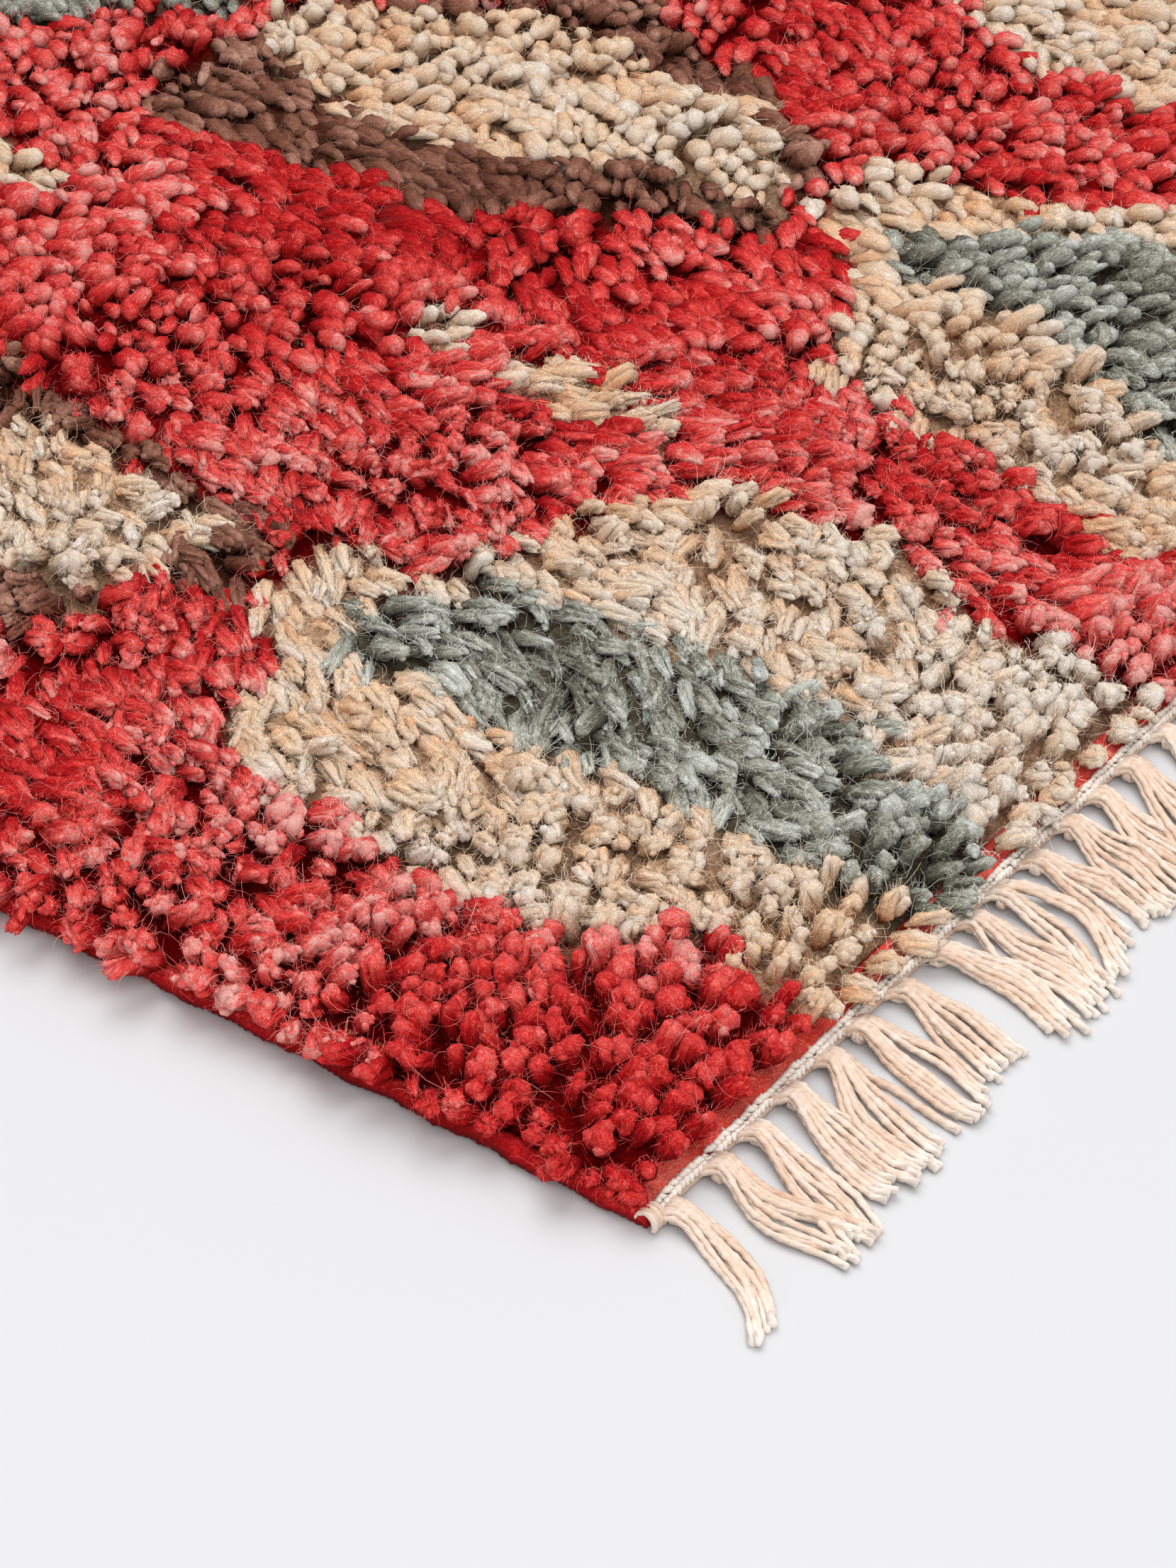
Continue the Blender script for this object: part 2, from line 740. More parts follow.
@dataclass
class Prototype:
    """A small closed shape on the unit circle along Z, whose copies are bent and joined into one mesh.

    Attributes:
        angle: Each point's angle round the axis.
        radius: Each point's distance from the axis, from 0 to 1.
        along: Each point's place along the axis, from 0 to 1.
        corners: Points of all faces, face after face.
        starts: Where each face starts in corners.
        chart: A place on the unit square for each corner.
    """

    angle: Array
    radius: Array
    along: Array
    corners: Array
    starts: Array
    chart: Array

    @property
    def triangles(self) -> int:
        """How many triangles one copy has."""
        return int(len(self.corners) - 2 * len(self.starts))

    @classmethod
    def yarn(cls, sides: int, profile: Profile) -> Prototype:
        """A tube with a closed point at each end.

        Args:
            sides: Corners of its section.
            profile: Place along the axis and radius of each ring between the two points.

        Returns:
            The prototype.
        """
        bm = bmesh.new()
        ring = bmesh.ops.create_circle(bm, segments=sides, radius=profile[0][1])["verts"]
        bmesh.ops.translate(bm, verts=ring, vec=(0, 0, profile[0][0]))
        edges = list(bm.edges)
        for place, radius in profile[1:]:
            grown = bmesh.ops.extrude_edge_only(bm, edges=edges)["geom"]
            edges = [part for part in grown if isinstance(part, bmesh.types.BMEdge) and part.is_boundary]
            for vertex in points_in(grown):
                spoke = Vector(vertex.co[:2]).normalized() * radius
                vertex.co = (spoke.x, spoke.y, place)
        caps = bmesh.ops.holes_fill(bm, edges=open_edges(bm))["faces"]
        for pole in bmesh.ops.poke(bm, faces=caps)["verts"]:
            pole.co.z = 0.0 if pole.co.z < 0.5 else 1.0
        bmesh.ops.recalc_face_normals(bm, faces=bm.faces)
        return cls.read(bm)

    @classmethod
    def even_yarn(cls, sides: int, places: Array) -> Prototype:
        """A tube of one radius, with rings at the places."""
        return cls.yarn(sides, tuple((place, 1.0) for place in places))

    @classmethod
    def fibre(cls, steps: int) -> Prototype:
        """A flat ribbon that narrows to a point, with its two edges at angles 0 and pi.

        Args:
            steps: Faces along it.

        Returns:
            The prototype.
        """
        bm = bmesh.new()
        bmesh.ops.create_grid(bm, x_segments=1, y_segments=steps, size=1.0)
        for vertex in bm.verts:
            place = (vertex.co.y + 1) / 2
            width = 0.0 if place > 0.999 else 1.0 - 0.4 * place
            vertex.co = (math.copysign(width, vertex.co.x), 0.0, place)
        bmesh.ops.remove_doubles(bm, verts=bm.verts, dist=1e-5)
        return cls.read(bm)

    @classmethod
    def read(cls, bm: bmesh.types.BMesh) -> Prototype:
        """Turn a finished bmesh into arrays and free it.

        Args:
            bm: The bmesh.

        Returns:
            The prototype.
        """
        bm.verts.index_update()
        points = np.array([vertex.co for vertex in bm.verts])
        corners, starts, chart = [], [], []
        for face in bm.faces:
            starts.append(len(corners))
            turns = [math.atan2(v.co.y, v.co.x) / TURN % 1.0 for v in face.verts]
            on_rim = [math.hypot(v.co.x, v.co.y) > 1e-6 for v in face.verts]
            rims = [turn for turn, outer in zip(turns, on_rim) if outer]
            wraps = max(rims) - min(rims) > 0.5 and len(turns) + len(rims) > 4
            turns = [turn + 1.0 * (wraps and turn < 0.5) for turn in turns]
            middle = sum(turn for turn, outer in zip(turns, on_rim) if outer) / len(rims)
            for turn, outer, vertex in zip(turns, on_rim, face.verts):
                corners.append(vertex.index)
                chart.append((turn if outer else middle, vertex.co.z))
        bm.free()
        x, y, z = points.T
        chart = np.clip(np.array(chart), 0.0, 1.0)
        return cls(np.arctan2(y, x), np.hypot(x, y), z, np.array(corners), np.array(starts), chart)


@dataclass
class Strands:
    """Many bent lengths of yarn, as arrays with a row for each.

    Attributes:
        path: Points along each strand, rows by points by 3.
        radius: Each strand's radius at those points, rows by points.
        tone: Light or dark, from 0 to 1.
        turn: Starting angle of the section.
        twist: How far the section turns from end to end.
        oval: How much wider than high the section is.
        lump: How uneven the surface is, as a share of the radius.
        start, end: The part of a whole tuft that the strand runs along.
    """

    path: Array
    radius: Array
    tone: Array
    turn: Array | float = 0.0
    twist: Array | float = 0.0
    oval: Array | float = 1.0
    lump: Array | float = 0.0
    start: Array | float = 0.0
    end: Array | float = 1.0

    def __post_init__(self) -> None:
        """Spread single numbers over all the strands."""
        self.radius = np.broadcast_to(self.radius, self.path.shape[:2])
        for name in ("tone", "turn", "twist", "oval", "lump", "start", "end"):
            setattr(self, name, np.broadcast_to(getattr(self, name), len(self)).astype(float))

    def __len__(self) -> int:
        """Number of strands."""
        return len(self.path)

    def pick(self, rows: Array) -> Strands:
        """Some of the strands."""
        return Strands(**{part.name: getattr(self, part.name)[rows] for part in fields(self)})

    def frames(self) -> tuple[Array, Array, Array]:
        """Find how the strands run.

        Returns:
            Each strand's heading and its two cross directions at its path's points.
        """
        heading = unit(np.gradient(self.path, axis=1))
        chord = self.path[:, -1] - self.path[:, 0]
        level = (np.cross(chord, (0.0, 0.0, 1.0)) + 1e-9)[:, None, :]
        over = unit(np.cross(level, heading))
        return heading, np.cross(heading, over), over

    def shaped(self, shape: Prototype) -> tuple[Array, dict[str, Array]]:
        """Bend a copy of the prototype along every strand.

        Args:
            shape: The prototype.

        Returns:
            The points of all copies, and their attributes.
        """
        _, across, over = self.frames()
        about = shape.angle[None, :]
        turn, twist, oval, lump, start, end = (
            values[:, None] for values in (self.turn, self.twist, self.oval, self.lump, self.start, self.end)
        )
        spin = turn + twist * shape.along[None, :]
        wave = np.cos(2 * about + 7 * turn + 3 * shape.along)
        wave = wave + 0.7 * np.cos(3 * about + 13 * turn - 6 * shape.along)
        wide = sample(self.radius, shape.along) * (1 + lump * wave) * shape.radius
        flat_x, flat_y = np.cos(about) * oval, np.sin(about) / oval
        x = (flat_x * np.cos(spin) - flat_y * np.sin(spin)) * wide
        y = (flat_x * np.sin(spin) + flat_y * np.cos(spin)) * wide
        points = sample(self.path, shape.along) + sample(across, shape.along) * x[..., None]
        points = points + sample(over, shape.along) * y[..., None]
        length = np.linalg.norm(np.diff(self.path, axis=1), axis=2).sum(1)[:, None]
        rest = joined(np.cos(about) * wide, np.sin(about) * wide, shape.along * length)
        offset = np.arange(len(self))[:, None] * np.array([[17.3, 9.1, 23.7]])
        return points.reshape(-1, 3), {
            "fibre": (rest / MM + offset[:, None, :]).reshape(-1, 3),
            "tip": (start + (end - start) * shape.along).reshape(-1),
            "tone": np.repeat(self.tone, len(shape.along)),
        }


class Workshop:
    """Turns arrays into finished pieces of the rug."""

    def __init__(self) -> None:
        """Start with no pieces."""
        self.materials: dict[str, bpy.types.Material] = {}
        self.triangles = 0

    def enter(self, mesh: bpy.types.Mesh, slot: str, finish: Finish) -> Piece:
        """Make a piece of a mesh, give it its finish, slot and body, and report it.

        Args:
            mesh: The mesh, which has the piece's name.
            slot: The material slot.
            finish: The finish, whose material is made once.

        Returns:
            The piece.
        """
        if finish.name not in self.materials:
            self.materials[finish.name] = finish.material()
        mesh.materials.append(self.materials[finish.name])
        piece = put(mesh.name, mesh)
        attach(piece, BODY)
        faces = sum(len(face.vertices) - 2 for face in mesh.polygons)
        self.triangles += faces
        LOG.info("%s: %d triangles", piece.name, faces)
        return piece

    def copies(
        self, name: str, shape: Prototype, count: int, points: Array, attributes: dict[str, Array]
    ) -> bpy.types.Mesh:
        """Make one smooth mesh of copies of a prototype, from their points.

        Args:
            name: The mesh's name.
            shape: The prototype.
            count: Number of copies.
            points: The points of all copies.
            attributes: Values for each point, by name.

        Returns:
            The mesh.
        """
        number = np.arange(count)[:, None]
        corners = (shape.corners[None, :] + number * len(shape.angle)).reshape(-1)
        starts = (shape.starts[None, :] + number * len(shape.corners)).reshape(-1)
        mesh = bpy.data.meshes.new(name)
        mesh.vertices.add(len(points))
        mesh.vertices.foreach_set("co", points.astype(np.float32).ravel())
        mesh.loops.add(len(corners))
        mesh.loops.foreach_set("vertex_index", corners.astype(np.int32))
        mesh.polygons.add(len(starts))
        mesh.polygons.foreach_set("loop_start", starts.astype(np.int32))
        mesh.update(calc_edges=True)
        mesh.validate()
        for key, values in attributes.items():
            kind, part = ("FLOAT_VECTOR", "vector") if values.ndim == 2 else ("FLOAT", "value")
            layer = mesh.attributes.new(key, kind, "POINT")
            layer.data.foreach_set(part, values.astype(np.float32).ravel())
        self.lay_out(mesh, shape, count)
        mesh.shade_smooth()
        return mesh

    @staticmethod
    def lay_out(mesh: bpy.types.Mesh, shape: Prototype, count: int) -> None:
        """Give every copy a cell of its own on the bake map.

        Args:
            mesh: The mesh of copies.
            shape: The prototype.
            count: Number of copies.
        """
        columns = math.ceil(math.sqrt(count))
        cell = 1.0 / columns
        row, column = np.divmod(np.arange(count), columns)
        corner = np.stack((column, row), axis=1) * cell
        chart = shape.chart[None] * cell * 0.94 + corner[:, None] + cell * 0.03
        layer = mesh.uv_layers.new(name=BAKE_MAP)
        layer.data.foreach_set("uv", chart.astype(np.float32).ravel())

    def join(self, name: str, shape: Prototype, strands: Strands, slot: str, finish: Finish) -> list[Piece]:
        """Join a bent copy of a prototype for every strand, in as many pieces as the triangle limit needs.

        Args:
            name: The pieces' name, which is numbered where there are several.
            shape: The prototype.
            strands: Where the copies lie.
            slot: The material slot.
            finish: The finish.

        Returns:
            The pieces.
        """
        parts = max(1, math.ceil(len(strands) * shape.triangles / MOST_TRIANGLES))
        pieces = []
        for index, rows in enumerate(np.array_split(np.arange(len(strands)), parts)):
            if len(rows):
                label = name + (f"_{index + 1}" if parts > 1 else "")
                mesh = self.copies(label, shape, len(rows), *strands.pick(rows).shaped(shape))
                pieces.append(self.enter(mesh, slot, finish))
        return pieces


class Tier(Enum):
    """How closely a part of the rug is seen."""

    NEAR = "near"
    MIDDLE = "middle"
    FAR = "far"


@dataclass(frozen=True)
class Detail:
    """How finely a tuft is made: its section, its rings, and the plies, fibres and short down on it."""

    sides: int
    profile: Profile
    plies: int
    fibres: int
    down: int


# sides, profile as (place, radius) for each ring, plies, fibres, down
DETAIL = {
    Tier.NEAR: Detail(6, ((0.45, 1.0), (0.92, 0.80)), 3, 12, 29),
    Tier.MIDDLE: Detail(7, ((0.25, 0.90), (0.58, 1.04), (0.84, 0.96), (0.96, 0.62)), 0, 5, 15),
    Tier.FAR: Detail(4, ((0.40, 1.0), (0.85, 0.88)), 0, 0, 0),
}
PLY_SIDES = 5
PLY_PROFILE = ((0.10, 0.80), (0.52, 1.0), (0.90, 0.80))


@dataclass
class Craft:
    """Something that makes pieces of the rug.

    Attributes:
        outline: The rug's outline.
        shop: Where the pieces are made.
        view: The studio, which knows what is seen close up.
        chance: Source of the unevenness.
        seed: Where that source starts.
    """

    outline: Outline
    shop: Workshop
    view: Studio
    chance: Chance = field(init=False)
    seed: ClassVar[int] = 0

    def __post_init__(self) -> None:
        """Start the source of the unevenness."""
        self.chance = np.random.default_rng(self.seed)


@dataclass
class Shag(Craft):
    """The pile: tufts of thick wool, knotted in rows, which stand near the corner and lie over elsewhere."""

    seed: ClassVar[int] = 21
    row_pitch: float = 10.8 * MM
    knot_pitch: float = 10.2 * MM
    past_end: float = 2.2 * MM
    jitter: float = 1.6 * MM
    radius: float = 4.4 * MM
    standing: float = 25 * MM
    lying: float = 35 * MM
    highest: float = 36 * MM
    clump_pitch: float = 34 * MM
    strongest_pull: float = 0.36
    lumps: float = 0.08
    points: int = 9
    ply_points: int = 6
    near_limit: float = 2.02
    roots: Array = field(init=False)
    flat: Array = field(init=False)
    dyes: Array = field(init=False)
    tiers: Array = field(init=False)
    strands: Strands = field(init=False)

    def knot(self) -> None:
        """Place the knots in staggered rows over the ground."""
        end = self.outline.pile_end + self.past_end
        places = []
        for index, y in enumerate(np.arange(-end, end, self.row_pitch)):
            left, right = self.outline.sides(y, 0.5 * MM)
            x = np.arange(left + (index % 2) * self.knot_pitch / 2, right, self.knot_pitch)
            places.append(joined(np.concatenate(([left, right], x)), y))
        roots = np.concatenate(places)
        self.roots = roots + np.clip(self.chance.normal(0, self.jitter, roots.shape), -3 * MM, 3 * MM)

    def lean(self, x: Array, y: Array) -> tuple[Array, Array]:
        """Which way the pile lies, and how flat.

        Args:
            x, y: Places on the rug.

        Returns:
            The heading in radians, and a share from 0, standing, to 1, lying.
        """
        across, up = self.outline.across(x), self.outline.up(y)
        heading = np.radians(-116 + 36 * drift(x, y, 0.09, 3) + 14 * drift(x, y, 0.035, 4))
        edge = 1 - smooth_step(0.012, 0.035, across)
        far_edge = smooth_step(0.965, 1.0, across)
        for share, outward in ((edge, -158), (far_edge, -35)):
            heading = heading * (1 - share) + np.radians(outward) * share
        flat = 0.20 + 0.58 * smooth_step(0.06, 0.26, up + 0.10 * smooth_step(0.08, 0.3, across))
        flat = np.maximum(flat + 0.26 * drift(x, y, 0.07, 5), 0.62 * edge)
        front = 1 - smooth_step(0.0, 0.03, up - self.outline.band_width)
        flat = np.maximum(flat, (0.40 + 0.2 * smooth_step(0.08, 0.14, across)) * front)
        return heading, np.clip(flat, 0.0, 1.0)

    def colour(self) -> None:
        """Choose each tuft's dye from the chart, as its tip shows it, with a few strays."""
        x, y = self.roots.T
        heading, flat = self.lean(x, y)
        reach, stray, margin = 22 * MM * flat, 2.5 * MM, 2 * MM
        across = self.outline.across(x + np.cos(heading) * reach) + self.chance.normal(0, stray, len(x))
        up = self.outline.up(y + np.sin(heading) * reach) + self.chance.normal(0, stray, len(x))
        self.dyes = dyes_at(across, np.clip(up, margin, 2 * self.outline.half_length - margin))

    def bend(self) -> None:
        """Shape every tuft: its curve, bulges, twist and the clump that it leans into."""
        x, y = self.roots.T
        count, chance, steps = len(x), self.chance, self.points - 1
        heading, flat = self.lean(x, y)
        heading = heading + chance.normal(0, 0.16 + 0.5 * (1 - flat) ** 2, count)
        self.flat = flat = np.clip(flat + chance.normal(0, 0.12, count), 0, 1)
        length = (self.standing + (self.lying - self.standing) * flat) * chance.normal(1.0, 0.11, count)
        side_rim = smooth_step(-0.035, -0.012, np.abs(x) - self.outline.half_width)
        end_rim = 1 - smooth_step(0.004, 0.026, self.outline.pile_end - np.abs(y))
        length = length * (1 + 0.16 * drift(x, y, 0.045, 12)) * (1 - 0.16 * side_rim) * (1 - 0.26 * end_rim)
        first, last = np.radians(86 - 26 * flat), np.radians(74 - 98 * flat)
        sway = chance.normal(0, 0.35, count)

        def way(step: int) -> Array:
            """Find the tufts' headings, which bow over along their length.

            Args:
                step: The step's number.

            Returns:
                The headings.
            """
            share = (step - 0.5) / steps
            rise, turn = first + (last - first) * share**0.8, heading + sway * share
            return joined(np.cos(rise) * np.cos(turn), np.cos(rise) * np.sin(turn), np.sin(rise))

        path = self.gather(walk(joined(x, y, self.outline.ground_top), steps, length, way))
        share = np.linspace(0, 1, self.points)
        path[..., 2] = np.minimum(path[..., 2] + relief(x, y)[:, None] * share, self.highest)
        wave = np.sin(share[None, :] * chance.uniform(6, 12, (count, 1)) + chance.uniform(0, 6.3, (count, 1)))
        swell = 0.84 + 0.16 * smooth_step(0.1, 0.6, share)
        size = self.radius * np.clip(chance.normal(1.0, 0.19, count), 0.6, 1.45)
        size = size * np.where(self.dyes == Dye.SAGE, 0.9, np.where(self.dyes == Dye.BROWN, 0.92, 1.0))
        size = size * (1.13 - 0.14 * flat)
        pointed = 1 - 0.26 * flat[:, None] * smooth_step(0.6, 1.0, share)[None, :]
        across, up = self.outline.across(x), self.outline.up(y)
        corner = np.exp(-((across / 0.13) ** 2 + (up / 0.15) ** 2))
        tone = 0.45 + 0.31 * drift(x, y, 0.05, 8) + 0.15 * drift(x, y, 0.25, 9) - 0.54 * corner
        self.strands = Strands(
            path, size[:, None] * swell * pointed * (1 + 0.08 * wave), tones(chance, tone, 0.15, count),
            chance.uniform(0, TURN, count), chance.normal(2.4, 0.6, count), chance.uniform(1.0, 1.30, count),
            self.lumps,
        )

    def gather(self, path: Array) -> Array:
        """Pull neighbouring tips together, a few of them into raised peaks.

        Args:
            path: The tufts' curves.

        Returns:
            The curves, gathered.
        """
        tips = path[:, -1, :2]
        warp = np.stack([drift(*tips.T, 0.05, seed) for seed in (14, 15)], axis=1) * 14 * MM
        cells = np.floor((tips + warp) / self.clump_pitch).astype(int)
        _, group = np.unique(cells[:, 0] * 1000 + cells[:, 1], return_inverse=True)
        groups = group.max() + 1
        totals = np.bincount(group, minlength=groups)
        middle = np.stack([np.bincount(group, column, groups) / totals for column in tips.T], axis=1)
        middle += self.chance.normal(0, 6 * MM, middle.shape)
        pull = np.clip(self.chance.normal(0.10, 0.11, groups), 0, self.strongest_pull)
        peak = self.chance.random(groups) < 0.03
        pull[peak] = self.strongest_pull
        past = np.abs(middle) - (self.outline.half_width, self.outline.pile_end)
        inside = 1 - smooth_step(-0.05, -0.01, past.max(1))
        lift = np.where(peak, 7 * MM, self.chance.normal(0, 2.6 * MM, groups)) * inside
        shift = np.concatenate(
            ((middle[group] - tips) * (pull * inside)[group][:, None], lift[group][:, None]), axis=1
        )
        return path + shift[:, None, :] * (np.linspace(0, 1, self.points) ** 2)[None, :, None]

    def sort_by_view(self) -> None:
        """Note how closely each tuft is seen."""
        x, y = self.roots.T
        seen = self.view.sees(x, y, 0.02)
        near = seen & (self.view.distance(x, y) < self.near_limit)
        self.tiers = np.where(near, Tier.NEAR.value, np.where(seen, Tier.MIDDLE.value, Tier.FAR.value))

    def rows(self, dye: Dye, *tiers: Tier) -> Array:
        """The tufts of one dye that are seen as closely as one of the tiers says."""
        return np.flatnonzero((self.dyes == dye) & np.isin(self.tiers, [tier.value for tier in tiers]))

    def plies(self, rows: Array, each: int) -> Strands:
        """Wind plies round tufts, which part at the tip and run out past it.

        Args:
            rows: The tufts.
            each: Plies in each tuft.

        Returns:
            The plies.
        """
        chance = self.chance
        tufts, flat = self.strands.pick(np.repeat(rows, each)), self.flat[np.repeat(rows, each)]
        count = len(tufts)
        start = chance.uniform(0.10, 0.30, count)
        end = chance.uniform(0.90, 1.02, count) + flat**2 * chance.uniform(0.0, 0.13, count)
        share = np.linspace(0, 1, self.ply_points)
        places = start[:, None] + (end - start)[:, None] * share
        heading, across, over = (sample(part, places) for part in tufts.frames())
        centre = sample(tufts.path, places) + heading * (np.maximum(places - 1, 0) * 30 * MM)[..., None]
        first = TURN * np.tile(np.arange(each), len(rows)) / each + tufts.turn + chance.normal(0, 0.4, count)
        angle = first[:, None] + tufts.twist[:, None] * places
        part = chance.normal(0.08, 0.14, count) + flat * chance.normal(0.06, 0.11, count)
        part = part[:, None] * share**2
        wide = sample(tufts.radius, np.minimum(places, 1.0))
        reach = self.radius * 0.2 * part + wide * (0.54 + part)
        path = centre + across * (np.cos(angle) * reach)[..., None]
        path = path + over * (np.sin(angle) * reach)[..., None]
        path[..., 2] = np.clip(path[..., 2], 1 * MM, self.highest + 2 * MM)
        radius = wide * 0.56 * chance.normal(1, 0.14, (count, 1))
        tone = tones(chance, tufts.tone, 0.15, count)
        return Strands(path, radius, tone, chance.uniform(0, 6.3, count), 1.2, 1.12, 0.06, start, end)

    def build(self) -> list[Piece]:
        """Make the pile's pieces, one or more for each dye, finer where the rug is seen close up.

        Returns:
            The pieces.
        """
        self.knot()
        self.colour()
        self.bend()
        self.sort_by_view()
        pieces = []
        for dye in Dye:
            wool = WoolFinish.of(dye)
            for tier, detail in DETAIL.items():
                rows = self.rows(dye, tier)
                label = f"{dye.value}_{tier.value}"
                if len(rows):
                    shape, tufts = Prototype.yarn(detail.sides, detail.profile), self.strands.pick(rows)
                    pieces += self.shop.join(f"pile_{label}", shape, tufts, "pile_wool", wool)
                if len(rows) and detail.plies:
                    shape = Prototype.yarn(PLY_SIDES, PLY_PROFILE)
                    plies = self.plies(rows, detail.plies)
                    pieces += self.shop.join(f"plies_{label}", shape, plies, "pile_wool", wool)
        return pieces


@dataclass
class Fuzz(Craft):
    """Fine fibres that stand off the wool."""

    shag: Shag
    seed: ClassVar[int] = 5
    width: float = 0.11 * MM
    highest: float = 40 * MM
    stray_steps: int = 8
    curled: tuple[float, float] = (8.5 * MM, 0.62)  # reach, and width as a share of the usual one
    short: tuple[float, float] = (2.8 * MM, 0.7)
    edge_each: int = 1600
    tufts_per_stray: int = 5

    def grow(self, host: Strands, each: int, steps: int, reach: float, wide: float = 1.0) -> Strands:
        """Grow curled fibres from strands.

        Args:
            host: The strands.
            each: Fibres on each strand.
            steps: Bends in each fibre.
            reach: A usual fibre's length.
            wide: Their width, as a share of the usual one.

        Returns:
            The fibres.
        """
        chance, host = self.chance, host.pick(np.repeat(np.arange(len(host)), each))
        count = len(host)
        place = 0.25 + 0.75 * np.sqrt(chance.random(count))[:, None]
        heading, across, over = (sample(part, place)[:, 0] for part in host.frames())
        angle = chance.uniform(0, TURN, (count, 1))
        outward = across * np.cos(angle) + over * np.sin(angle)
        outward *= np.where(outward[:, 2:] < -0.3, -1, 1)
        start = sample(host.path, place)[:, 0] + outward * sample(host.radius, place)
        way = outward * 0.6 + heading * chance.normal(0.5, 0.8, (count, 1))
        way = unit(way + chance.normal(0, 0.4, (count, 3)))
        curl = unit(np.cross(way, chance.normal(0, 1, (count, 3))))
        length = np.clip(chance.gamma(3.0, reach / 3, count), 0.5 * reach, 3 * reach)
        bend = chance.normal(2.4, 0.9, count) if steps > 1 else np.zeros(count)

        def curling(step: int) -> Array:
            """The fibres' headings in one step, which turn from their way towards their curl."""
            turned = bend * (step - 0.5) / steps
            return way * np.cos(turned)[:, None] + curl * np.sin(turned)[:, None]

        path = walk(start, steps, length, curling)
        path[..., 2] = np.clip(path[..., 2], 0.5 * MM, self.highest)
        tone = tones(chance, host.tone, 0.3, count)
        return Strands(path, self.width * wide, tone, chance.normal(0, 0.5, count))

    def stray(self, host: Strands, count: int) -> Strands:
        """Lay long single fibres over the pile, along the way that it lies.

        Args:
            host: The tufts that the fibres come from.
            count: Number of fibres.

        Returns:
            The fibres.
        """
        chance, steps = self.chance, self.stray_steps
        inner = np.flatnonzero(np.abs(host.path[:, -1, 0]) < self.outline.half_width - 15 * MM)
        host = host.pick(inner[chance.integers(0, len(inner), count)])
        way = unit((host.path[:, -1] - host.path[:, 0]) * (1, 1, 0))
        heading = np.arctan2(way[:, 1], way[:, 0]) + chance.normal(0, 0.5, count)
        length = chance.uniform(10, 26, count) * MM
        curl = chance.normal(0, 2.2, count)
        lift = chance.normal(0.0, 0.22, count)

        def wandering(step: int) -> Array:
            """The fibres' headings in one step, which curl more and more."""
            turn = heading + curl * (step / steps) ** 2
            return joined(np.cos(turn), np.sin(turn), lift * np.cos(step * 0.9))

        path = walk(host.path[:, -2] + (0, 0, 4 * MM), steps, length, wandering)
        path[..., 2] = np.clip(path[..., 2], self.outline.ground_top, self.highest)
        return Strands(path, self.width * 0.6, chance.uniform(0.1, 0.8, count))

    def edge_hosts(self) -> Strands:
        """The binding and the bare band near the corner as long strands, for fibres to grow from.

        Returns:
            The strands.
        """
        outline, knots = self.outline, np.linspace(0, 1, 160)
        y = -outline.ground_end + 0.45 * knots
        paths = [joined(outline.side(y, -1) - outline.binding_width * 0.55, y, 4.5 * MM)] * 4
        x = -outline.half_width * 0.98 + 0.66 * knots
        for share in (0.1, 0.3, 0.5, 0.7, 0.9):
            paths.append(joined(x, -outline.pile_end - share * outline.band_width, 0.9 * MM))
        return Strands(np.stack(paths), 3.8 * MM, 0.35)

    def build(self) -> list[Piece]:
        """Make the fibres' pieces, one or more for each dye.

        Returns:
            The pieces.
        """
        shag, join = self.shag, self.shop.join
        pieces = []
        for dye in Dye:
            finish = FibreFinish.of(dye)
            for tier, detail in DETAIL.items():
                rows = shag.rows(dye, tier)
                if not len(rows) or not detail.fibres:
                    continue
                for kind, each, steps, size in (
                    ("fibres", detail.fibres, 3 if tier is Tier.NEAR else 2, self.curled),
                    ("down", detail.down, 1, self.short),
                ):
                    fibres = self.grow(shag.strands.pick(rows), each, steps, *size)
                    name = f"{kind}_{dye.value}_{tier.value}"
                    pieces += join(name, Prototype.fibre(steps), fibres, "pile_wool", finish)
            rows = shag.rows(dye, Tier.NEAR, Tier.MIDDLE)
            if len(rows):
                strays = self.stray(shag.strands.pick(rows), len(rows) // self.tufts_per_stray)
                shape = Prototype.fibre(self.stray_steps)
                pieces += join(f"strays_{dye.value}", shape, strays, "pile_wool", finish)
        edge = self.grow(self.edge_hosts(), self.edge_each, 1, self.short[0])
        return pieces + join("fibres_edges", Prototype.fibre(1), edge, "binding_wool", EDGE_FIBRES)


@dataclass
class Ground(Craft):
    """The flat-woven sheet under the pile, which shows as a band at each end."""

    columns: int = 25
    row_pitch: float = 40 * MM

    def build(self) -> Piece:
        """Make the sheet: a grid drawn to the rug's sides and given its thickness.

        Returns:
            The sheet.
        """
        end, top = self.outline.ground_end, self.outline.ground_top
        bm, rows = bmesh.new(), round(2 * end / self.row_pitch)
        bmesh.ops.create_grid(bm, x_segments=self.columns, y_segments=rows, size=1.0)
        for vertex in bm.verts:
            y = vertex.co.y * end
            left, right = self.outline.sides(y)
            vertex.co = (left + (right - left) * ((vertex.co.x + 1) / 2), y, top)
        grown = bmesh.ops.extrude_face_region(bm, geom=bm.faces[:])["geom"]
        bmesh.ops.translate(bm, verts=points_in(grown), vec=(0, 0, -top))
        bmesh.ops.recalc_face_normals(bm, faces=bm.faces)
        finish = WeaveFinish("ground_weave", self.outline.pile_end)
        return self.shop.enter(mesh_of("ground_sheet", bm), "ground_weave", finish)


